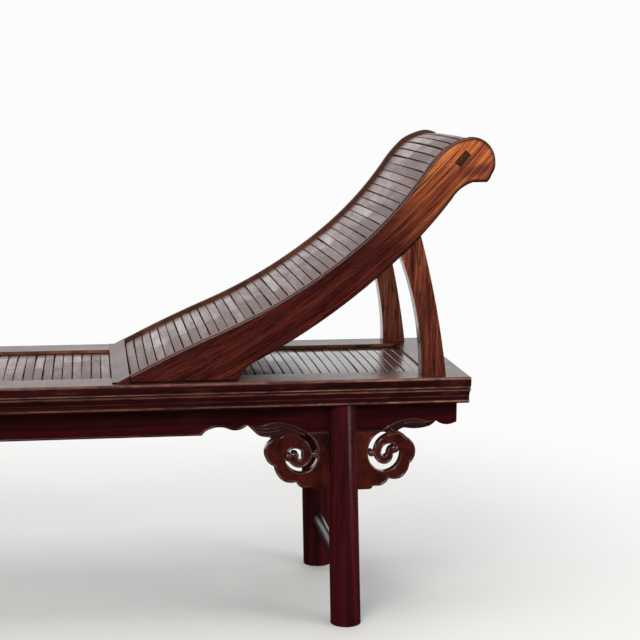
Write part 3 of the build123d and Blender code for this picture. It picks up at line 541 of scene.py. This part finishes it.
# Rounds off the outer face of a side board with rings inside its outline that fall away
def rollEdge(bm, way):
    rim = bm.verts.layers.float.new("rim")
    worn = boards["wornCorner"]
    for v in bm.verts:
        over = v.co.x * worn["outX"] + v.co.z * worn["outZ"] - worn["least"]
        if over > 0 and v.co.x > boards["scrollFrom"]:
            v.co.x -= worn["outX"] * over * worn["share"]
            v.co.z -= worn["outZ"] * over * worn["share"]
    low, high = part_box("crest_headrest_rail")
    middle = (low + high) / 2
    outmost = max(v.co.y * way for v in bm.verts) - closeness["plane"]

    def outer():
        return [f for f in bm.faces
                if f.normal.y * way > closeness["flat"] and f.calc_center_median().y * way > outmost]

    def edgesOf(faces):
        return list(dict.fromkeys(e for f in faces for e in f.edges))

    # two faces that meet at the mortise, in place of those that fan out from it
    faces = outer()
    cut = bmesh.ops.bisect_plane(bm, geom=faces + edgesOf(faces), dist=1e-6, plane_co=middle,
                                 plane_no=(1, 0, 0))["geom_cut"]
    faces = outer()
    bmesh.ops.dissolve_edges(bm, edges=[e for e in edgesOf(faces)
                                        if e not in cut and all(f in faces for f in e.link_faces)])
    faces = outer()
    falls = []
    for count, (width, near, drop) in enumerate(boards["rings"]):
        ring = bmesh.ops.inset_region(bm, faces=faces, use_boundary=True, use_even_offset=False, thickness=width,
                                      depth=0)["faces"]
        for face in ring:
            if count == boards["shineRing"] and face.calc_center_median().x > boards["shineFrom"]:
                face.material_index = faceSlots["rim"]
        line = {v for f in ring for v in f.verts} - {v for f in faces for v in f.verts}
        falls += [(v, near, drop) for v in line
                  if math.hypot(v.co.x - middle.x, v.co.z - middle.z) > boards["clear"]]
        # points crowded into a corner become one, or the next ring would cross this one
        crowd = list(dict.fromkeys(v for f in faces for v in f.verts))
        bmesh.ops.remove_doubles(bm, verts=crowd, dist=boards["crowded"])
        bm.normal_update()
        faces = sorted(outer(), key=lambda f: f.calc_area())[-2:]
    for v, near, drop in falls:
        v[rim] = near
        v.co.y -= way * drop


# Faces of a side board's lip: the narrow sides, and what looks inwards past the slats
def onLip(face):
    y = face.calc_center_median().y
    return abs(face.normal.y) < 0.3 or abs(y) > boards["lipFrom"] and face.normal.y * y < 0


for node, lip in (("front_side_board", nearLip), ("back_side_board", farLip)):
    eased(node, boardWood, rubbedBoard, boards["edge"], boards["segments"], boards["angle"],
          inside=lip, isInside=onLip, clamp=False)
eased("toe_board", toeWood, rubbedBoard, boards["toeEdge"])

braces = dict(
    edge=0.0014, segments=3,
    wood=dict(along="z", figure=150, streak=420, pore=1000, streakDepth=0.8, poreDepth=0.5, patch=0.25,
              dark=(0.065, 0.010, 0.008), middle=(0.16, 0.034, 0.015), light=(0.34, 0.10, 0.038),
              line=(0.020, 0.004, 0.003), patchColour=(0.06, 0.012, 0.008),
              fade=dict(low=0.50, high=0.67, depth=0.9, colour=(0.55, 0.40, 0.60)),
              rough=(0.20, 0.32), coat=0.4, coatRough=0.10, shine=0.45, bump=0.0003),
    # tones of the back brace, lightened as painted light
    farPaintedLight=dict(dark=(0.12, 0.024, 0.013), middle=(0.26, 0.066, 0.030), light=(0.44, 0.150, 0.060)),
)
braceWood = grainWood("red rosewood", braces["wood"])
# the back brace takes a lighter copy of the brace wood: painted light for the light that the headrest keeps from it
braceWoodPaintedLighter = grainWood("red rosewood painted lighter where shaded", dict(braces["wood"], **braces["farPaintedLight"]))
eased("front_brace", braceWood, rubbedBoard, braces["edge"], braces["segments"])
eased("back_brace", braceWoodPaintedLighter, rubbedBoard, braces["edge"], braces["segments"])
print("headrest boards and braces eased")

# Hidden and small pieces keep their CAD shape
hidden = dict(
    plain=dict(dark=(0.09, 0.04, 0.02), middle=(0.17, 0.085, 0.045), light=(0.26, 0.14, 0.08), coat=0.0,
               rough=(0.55, 0.75)),
    peg=dict(dark=(0.03, 0.012, 0.008), middle=(0.055, 0.022, 0.013), light=(0.09, 0.04, 0.025)),
    tenon=dict(along="y", dark=(0.028, 0.010, 0.005), middle=(0.060, 0.022, 0.009), light=(0.11, 0.042, 0.016),
               coat=0.1),
)
plainWood = grainWood("plain hardwood", dict(braces["wood"], along="x", **hidden["plain"]))
plainWoodY = grainWood("plain hardwood across", dict(braces["wood"], along="y", **hidden["plain"]))
pegWood = grainWood("peg wood", dict(braces["wood"], **hidden["peg"]))
tenonWood = grainWood("dark tenon wood", {**braces["wood"], **hidden["tenon"]})
for node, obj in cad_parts.items():
    if node in shown or node.endswith("_slats") or node.endswith("_spandrel"):
        continue
    if node in ("corner_pegs", "leg_dowels", "board_dowels"):
        finish = pegWood
    elif node == "crest_headrest_rail":
        finish = tenonWood
    elif node.endswith("batten") or node == "headrest_spine":
        finish = plainWood
    else:
        finish = plainWoodY
    obj.data.materials.clear()
    obj.data.materials.append(finish)
print("hidden pieces given their wood")


# Ordered outlines of a node's flat face, each point with the way into the wood
def faceOutlines(node, facing):
    bm = bmesh.new()
    bm.from_mesh(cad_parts[node].data)
    bmesh.ops.remove_doubles(bm, verts=bm.verts, dist=closeness["weld"])
    bm.normal_update()
    flat = dict.fromkeys(f for f in bm.faces if f.normal.dot(facing) > closeness["flat"])
    follow = {}
    for face in flat:
        for loop in face.loops:
            if loop.link_loop_radial_next.face not in flat:
                follow[loop.vert] = loop.link_loop_next.vert
    outlines = []
    while follow:
        run, vert = [], next(iter(follow))
        while vert in follow:
            following = follow.pop(vert)
            inward = facing.cross(following.co - vert.co)
            run.append((vert.co.copy(), inward.normalized()))
            vert = following
        outlines.append(run)
    bm.free()
    return outlines


# Points at equal steps along a run of points, smoothed a little
def evenRun(points, step, closed):
    if closed:
        points = points + [points[0]]
    spaced, left = [points[0]], step
    for before, after in zip(points, points[1:]):
        length = (after - before).length
        while length >= left > 0:
            before = before + (after - before) * (left / length)
            length = (after - before).length
            spaced.append(before.copy())
            left = step
        left -= length
    for _ in range(2):
        last = len(spaced) - 1
        spaced = [p if not closed and i in (0, last) else (spaced[i - 1] + 2 * p + spaced[(i + 1) % len(spaced)]) / 4
                  for i, p in enumerate(spaced)]
    return spaced


# Stretches of kept points around an outline, broken as well where they jump further than they may
def keptRuns(points, keep, least, jumps=None):
    first = keep.index(False)
    runs, run = [], []
    for i in list(range(first, len(points))) + list(range(first + 1)):
        far = jumps and run and (points[i] - run[-1]).length > jumps[i]
        if keep[i] and not far:
            run.append(points[i])
            continue
        if len(run) > least:
            runs.append(run)
        run = []
    return runs


# A curve of straight steps through the points
def addSpline(curve, points, closed):
    spline = curve.splines.new("POLY")
    spline.points.add(len(points) - 1)
    for spot, point in zip(spline.points, points):
        spot.co = (*point, 1)
    spline.use_cyclic_u = closed
    return spline


def curveMesh(curve):
    holder = bpy.data.objects.new("line", curve)
    bpy.context.scene.collection.objects.link(holder)
    mesh = bpy.data.meshes.new_from_object(holder)
    bpy.data.objects.remove(holder)
    return mesh


# A raised line of wood with a round back, thinning out at open ends
def raisedLine(points, radius, closed, ends=0.25):
    curve = bpy.data.curves.new("line", "CURVE")
    curve.dimensions = "3D"
    curve.bevel_depth = radius
    curve.bevel_resolution = 2
    curve.use_fill_caps = True
    spline = addSpline(curve, points, closed)
    for i, spot in enumerate(spline.points):
        fromEnd = min(i, len(points) - 1 - i) / max(1, len(points) / 6)
        spot.radius = 1 if closed else ends + (1 - ends) * min(1, fromEnd)
    return curveMesh(curve)


def joinLines(name, meshes, material):
    bm = bmesh.new()
    for mesh in meshes:
        bm.from_mesh(mesh)
        bpy.data.meshes.remove(mesh)
    bmesh.ops.remove_doubles(bm, verts=bm.verts, dist=1e-6)
    bmesh.ops.recalc_face_normals(bm, faces=bm.faces)
    for face in bm.faces:
        face.smooth = True
    piece = meshObject(name, bm, [material])
    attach(piece, "root")


# Spandrels: lips along their pierced edges, leaf lines, thin dark plates of painted shade in the leaf's hollow, and
# balls. An outline with fewer kept points than fewest has no lip, and a stretch with no more than shortest is left out
# of it.
carvings = dict(
    edge=0.0012, weld=0.0003, fewest=6, shortest=4,
    lip=0.0021, lipInset=1.05, lipSink=0.35, clear=0.93, step=0.0016, gap=0.003, top=0.0015, hidden=0.010,
    leafLine=0.0015, leafEnds=0.2, leafThick=0.0004, ballProud=0.62, ballSize=0.92,
    lacquer=dict(along="none", dark=(0.020, 0.0025, 0.0028), light=(0.105, 0.0130, 0.0080),
                 under=(0.19, 0.042, 0.014), wear=0.6, rough=(0.18, 0.30), coat=0.5, coatRough=0.10, shine=0.5,
                 bump=0.0003),
    # the leaf look is painted shade, a dark plate standing in for the shade in the carved leaf's hollow
    leaf=dict(along="x", dark=(0.012, 0.0040, 0.0050), light=(0.034, 0.0120, 0.0150), wear=0.15),
    lipLook=dict(scale=18, finish=(0.040, 0.011, 0.009), bare=(0.15, 0.065, 0.045), bareAt=(0.40, 0.72),
                 rough=0.20, coat=0.8),
)
carvedWood = oldLacquer("carved rosewood", carvings["lacquer"])
leafShadeWood = oldLacquer("painted shade in the carved leaf", {**carvings["lacquer"], **carvings["leaf"]})
lipWood = rubbedEdgeAndSheen("rubbed carved lip", carvings["lipLook"])


# Whether a point lies in the wood of a face, by counting the outlines that a line from it crosses
def inWood(point, outlines):
    crossed = 0
    for run in outlines:
        for (a, _), (b, _) in zip(run, run[1:] + run[:1]):
            if (a.z > point.z) != (b.z > point.z):
                crossed += a.x + (point.z - a.z) / (b.z - a.z) * (b.x - a.x) > point.x
    return crossed % 2 == 1


def carveLips(node, way):
    low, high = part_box(node)
    width, inset = carvings["lip"], carvings["lip"] * carvings["lipInset"]
    proud = (low.y if way < 0 else high.y) - way * width * carvings["lipSink"]
    legLow = "_outer_" in node and "head" in node or "_inner_" in node and "foot" in node
    outlines = faceOutlines(node, Vector((0, way, 0)))
    edge = [place for run in outlines for place, inward in run]
    meshes = []
    for run in outlines:
        points, keep = [], []
        for i, (place, inward) in enumerate(run):
            p = place + (inward + run[i - 1][1]).normalized() * inset
            p.y = proud
            clear = min(math.hypot(p.x - e.x, p.z - e.z) for e in edge) > inset * carvings["clear"]
            fromLeg = p.x - low.x if legLow else high.x - p.x
            points.append(p)
            keep.append(clear and p.z < high.z - carvings["top"] - width and fromLeg > carvings["hidden"]
                        and inWood(p, outlines))
        if sum(keep) < carvings["fewest"]:
            continue
        if all(keep):
            meshes.append(raisedLine(evenRun(points, carvings["step"], True), width, True))
            continue
        jumps = [(run[i][0] - run[i - 1][0]).length + carvings["gap"] for i in range(len(run))]
        for stretch in keptRuns(points, keep, carvings["shortest"], jumps):
            meshes.append(raisedLine(evenRun(stretch, carvings["step"], False), width, False))
    return meshes


# Leaf and wave lines that run over spandrel and apron, in X and Z at the head's front, and the carved balls
leafLines = dict(
    inner=[
        [(0.6219, 0.3346), (0.6159, 0.3562), (0.6057, 0.3710), (0.5906, 0.3817), (0.5671, 0.3918), (0.5487, 0.3962),
         (0.5320, 0.3954), (0.5153, 0.3911), (0.4970, 0.3900)],
        [(0.5503, 0.3901), (0.5621, 0.3851), (0.5755, 0.3813), (0.5881, 0.3758), (0.5957, 0.3688)],
        [(0.4937, 0.3914), (0.5053, 0.3868), (0.5203, 0.3855), (0.5370, 0.3867), (0.5503, 0.3889)],
        [(0.5036, 0.3818), (0.5203, 0.3791), (0.5370, 0.3803), (0.5554, 0.3836)],
        [(0.4904, 0.3941), (0.4970, 0.3879), (0.5053, 0.3792), (0.5136, 0.3730), (0.5286, 0.3708), (0.5336, 0.3656)],
        [(0.5454, 0.3627), (0.5571, 0.3700), (0.5738, 0.3717), (0.5906, 0.3647)],
    ],
    outer=[
        [(0.7411, 0.3748), (0.7521, 0.3819), (0.7632, 0.3880), (0.7758, 0.3934), (0.7917, 0.3961), (0.8076, 0.3966),
         (0.8204, 0.3927), (0.8317, 0.3911), (0.8428, 0.3936)],
        [(0.7823, 0.3868), (0.7918, 0.3903), (0.8077, 0.3911), (0.8205, 0.3888), (0.8301, 0.3897)],
        [(0.7545, 0.3819), (0.7617, 0.3765), (0.7713, 0.3718), (0.7825, 0.3687)],
        [(0.7508, 0.3633), (0.7634, 0.3685), (0.7762, 0.3673), (0.7858, 0.3598), (0.7923, 0.3532)],
    ],
)
leafShadePlates = dict(
    inner=[(0.4945, 0.3905), (0.5050, 0.3905), (0.5154, 0.3911), (0.5320, 0.3950), (0.5487, 0.3956), (0.5671, 0.3912),
           (0.5850, 0.3835), (0.5906, 0.3812), (0.5885, 0.3775), (0.5772, 0.3780), (0.5621, 0.3745), (0.5490, 0.3692),
           (0.5400, 0.3680), (0.5345, 0.3702), (0.5290, 0.3745), (0.5206, 0.3738), (0.5140, 0.3745), (0.5060, 0.3793)],
    outer=[(0.7460, 0.3782), (0.7521, 0.3817), (0.7632, 0.3878), (0.7758, 0.3932), (0.7917, 0.3959), (0.8076, 0.3964),
           (0.8204, 0.3927), (0.8229, 0.3835), (0.8036, 0.3815), (0.7843, 0.3838), (0.7768, 0.3812), (0.7690, 0.3768),
           (0.7600, 0.3748), (0.7510, 0.3752)],
)
carvedBalls = dict(inner=[(0.5765, 0.3321, 0.0083), (0.5649, 0.3310, 0.0063), (0.6152, 0.3330, 0.0063)],
                   outer=[(0.7670, 0.3395, 0.0077), (0.7223, 0.3325, 0.0063)])
railLow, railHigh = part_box("front_rail")
mirrorX = railLow.x + railHigh.x
apronFace = -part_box("front_apron")[0].y


# Points drawn at the head's front, carried to either end and either side
def carried(x, z, end, way):
    return Vector((x if end == "head" else mirrorX - x, way * apronFace, z))


def smoothRun(points, cuts=6):
    run = []
    for i in range(len(points) - 1):
        a, b = points[max(0, i - 1)], points[i]
        c, d = points[i + 1], points[min(len(points) - 1, i + 2)]
        for k in range(cuts):
            t = k / cuts
            run.append(0.5 * (2 * b + (c - a) * t + (2 * a - 5 * b + 4 * c - d) * t * t
                              + (3 * b - a - 3 * c + d) * t ** 3))
    return run + [points[-1]]


def carveLeaf(place, end, way):
    return [raisedLine(smoothRun([carried(x, z, end, way) for x, z in line]), carvings["leafLine"], False,
                       carvings["leafEnds"]) for line in leafLines[place]]


# A thin dark plate under the leaf's lines: painted shade in the hollow of the carved leaf
def layLeafShade(place, end, way):
    curve = bpy.data.curves.new("leaf", "CURVE")
    curve.dimensions, curve.fill_mode = "2D", "BOTH"
    curve.extrude = curve.bevel_depth = carvings["leafThick"]
    corners = [Vector((x, z, 0)) for x, z in leafShadePlates[place]]
    addSpline(curve, smoothRun(corners + corners[:1], 3)[:-1], True)
    mesh = curveMesh(curve)
    turn, shift = (1, 0) if end == "head" else (-1, mirrorX)
    mesh.transform(Matrix(((turn, 0, 0, shift), (0, 0, -turn, way * apronFace), (0, 1, 0, 0), (0, 0, 0, 1))))
    return mesh


def carveBalls(place, end, way):
    meshes = []
    for x, z, radius in carvedBalls[place]:
        bm = bmesh.new()
        bmesh.ops.create_uvsphere(bm, u_segments=20, v_segments=12, radius=radius * carvings["ballSize"])
        bmesh.ops.scale(bm, vec=(1, carvings["ballProud"], 1), verts=bm.verts)
        bmesh.ops.translate(bm, vec=carried(x, z, end, way), verts=bm.verts)
        mesh = bpy.data.meshes.new("ball")
        bm.to_mesh(mesh)
        bm.free()
        meshes.append(mesh)
    return meshes


for end in ("head", "foot"):
    for side, way in (("front", -1), ("back", 1)):
        for place in ("outer", "inner"):
            node = f"{end}_{side}_{place}_spandrel"
            eased(node, carvedWood, carvedWood, carvings["edge"], weld=carvings["weld"])
            lines = carveLips(node, -1) + carveLips(node, 1) + carveLeaf(place, end, way)
            joinLines(node + "_lips", lines, lipWood)
            joinLines(node + "_balls", carveBalls(place, end, way), lipWood)
            joinLines(node + "_leaf_shade", [layLeafShade(place, end, way)], leafShadeWood)

# The worn bead along an apron's cusped lower edge, on the face that looks outwards
apronBead = dict(radius=0.0013, inset=0.0030, sink=0.35, step=0.003, below=0.420, endGap=0.004,
                 joint=(0.552, 0.790))


def carveApronEdge(node, facing):
    low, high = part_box(node)
    centre = (low + high) / 2
    proud = max(low.dot(facing), high.dot(facing)) - apronBead["radius"] * apronBead["sink"]
    axis = 0 if abs(facing.y) > 0.5 else 1
    half = (high[axis] - low[axis]) / 2
    meshes = []
    for run in faceOutlines(node, facing):
        points, keep = [], []
        for i, (place, inward) in enumerate(run):
            point = place + (inward + run[i - 1][1]).normalized() * apronBead["inset"]
            point += facing * (proud - point.dot(facing))
            out = abs(point[axis] - centre[axis])
            atJoint = axis == 0 and apronBead["joint"][0] < out < apronBead["joint"][1]
            points.append(point)
            keep.append(point.z < apronBead["below"] and out < half - apronBead["endGap"] and not atJoint)
        meshes += [raisedLine(evenRun(stretch, apronBead["step"], False), apronBead["radius"], False)
                   for stretch in keptRuns(points, keep, 1)]
    return meshes


for node, facing in (("front_apron", (0, -1, 0)), ("back_apron", (0, 1, 0)), ("head_end_apron", (1, 0, 0)),
                     ("foot_end_apron", (-1, 0, 0))):
    joinLines(node + "_bead", carveApronEdge(node, Vector(facing)), lipWood)
print("spandrels and aprons carved")

# Slats: bowed, each a little off in width, tilt, skew and height; shares of half a slat's length for its node
slats = dict(
    thickness=0.0044, edge=0.0008, cuts=17, bow=0.005, bowPower=3.2, narrower=(-0.0002, 0.0011), tilt=0.018,
    skew=0.0012, shift=0.0003, lift=(-0.0004, 0.0002),
    drift=0.11, jump=0.10, farthest=0.7, restart=0.5, tone=(0.18, 0.48), toneStep=(0.02, 0.32), farTone=0.12,
    finish=dict(dark=(0.090, 0.036, 0.032), middle=(0.145, 0.075, 0.068), light=(0.19, 0.130, 0.124),
                node=(0.015, 0.005, 0.004), nodeWidth=0.0045, rough=(0.15, 0.52),
                kept=dict(fromX=0.50, toX=0.64, share=0.35, fromZ=0.50, toZ=0.51),
                coat=0.12, coatRough=0.14, bump=0.0003),
)
bamboo = bambooLacquer("lacquered bamboo", slats["finish"])


# Each loose slat of a CAD node: its end's low middle, its width direction and the way that its bow rises
def slatPlaces(node):
    bm = bmesh.new()
    bm.from_mesh(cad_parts[node].data)
    bmesh.ops.remove_doubles(bm, verts=bm.verts, dist=closeness["weld"])
    waiting = dict.fromkeys(bm.verts)
    places = []
    while waiting:
        first = waiting.popitem()[0]
        island, edge = [first], [first]
        while edge:
            vert = edge.pop()
            for link in vert.link_edges:
                other = link.other_vert(vert)
                if other in waiting:
                    del waiting[other]
                    island.append(other)
                    edge.append(other)
        reach = max(v.co.y for v in island)
        corners = [v.co.copy() for v in island if v.co.y > reach - closeness["plane"]]
        middle = [v.co for v in island if abs(v.co.y) < reach * 0.2]
        rise = sum(middle, Vector()) / len(middle) - sum(corners, Vector()) / len(corners)
        rise.y = 0
        rise.normalize()
        wide = Vector((rise.z, 0, -rise.x))
        spanWide = [c.dot(wide) for c in corners]
        low = min(c.dot(rise) for c in corners)
        base = wide * (min(spanWide) + max(spanWide)) / 2 + rise * low
        places.append((base, wide, rise, max(spanWide) - min(spanWide), reach))
    bm.free()
    return sorted(places, key=lambda p: p[0].x - p[2].x * 0.2)


def laySlats(node, seed):
    chance = random.Random(seed)
    bm = bmesh.new()
    look = bm.verts.layers.float_vector.new("slatLook")
    nodeAt = 0.0
    for base, wide, rise, width, reach in slatPlaces(node):
        own = bmesh.new()
        bmesh.ops.create_cube(own, size=1)
        ownWidth = width - chance.uniform(*slats["narrower"])
        bmesh.ops.scale(own, vec=(ownWidth, 2 * reach, slats["thickness"]), verts=own.verts)
        bmesh.ops.translate(own, vec=(0, 0, slats["thickness"] / 2), verts=own.verts)
        long = [e for e in own.edges if abs((e.verts[0].co - e.verts[1].co).y) > reach]
        bmesh.ops.bevel(own, geom=long, offset=slats["edge"], offset_type="OFFSET", segments=1, profile=0.5,
                        affect="EDGES", material=-1)
        long = [e for e in own.edges if abs((e.verts[0].co - e.verts[1].co).y) > reach]
        bmesh.ops.subdivide_edges(own, edges=long, cuts=slats["cuts"], use_grid_fill=True)
        nodeAt += chance.uniform(-1, 1) * slats["drift"] * reach
        if chance.random() < slats["jump"] or abs(nodeAt) > slats["farthest"] * reach:
            nodeAt = chance.uniform(-slats["restart"], slats["restart"]) * reach
        tilt = chance.uniform(-slats["tilt"], slats["tilt"])
        skew = chance.uniform(-1, 1) * slats["skew"]
        shift = chance.uniform(-1, 1) * slats["shift"]
        lift = chance.uniform(*slats["lift"])
        values = Vector((chance.uniform(*slats["tone"]), nodeAt, chance.uniform(*slats["toneStep"])))
        made = {}
        for v in own.verts:
            x, y, z = v.co
            bow = slats["bow"] * (1 - abs(y / reach) ** slats["bowPower"])
            side = x + shift + skew * y / reach
            up = z + bow + tilt * x + (lift if z > 0 else 0)
            point = base + wide * side + rise * up
            point.y = y
            made[v] = bm.verts.new(point)
            made[v][look] = values + Vector((slats["farTone"] * y / reach, 0, 0))
        for face in own.faces:
            bm.faces.new([made[v] for v in face.verts]).smooth = False
        own.free()
    piece = meshObject(node + "_bamboo", bm, [bamboo])
    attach(piece, "root")
    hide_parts(node)


laySlats("seat_slats", 4)
laySlats("headrest_slats", 9)
print("slats laid")
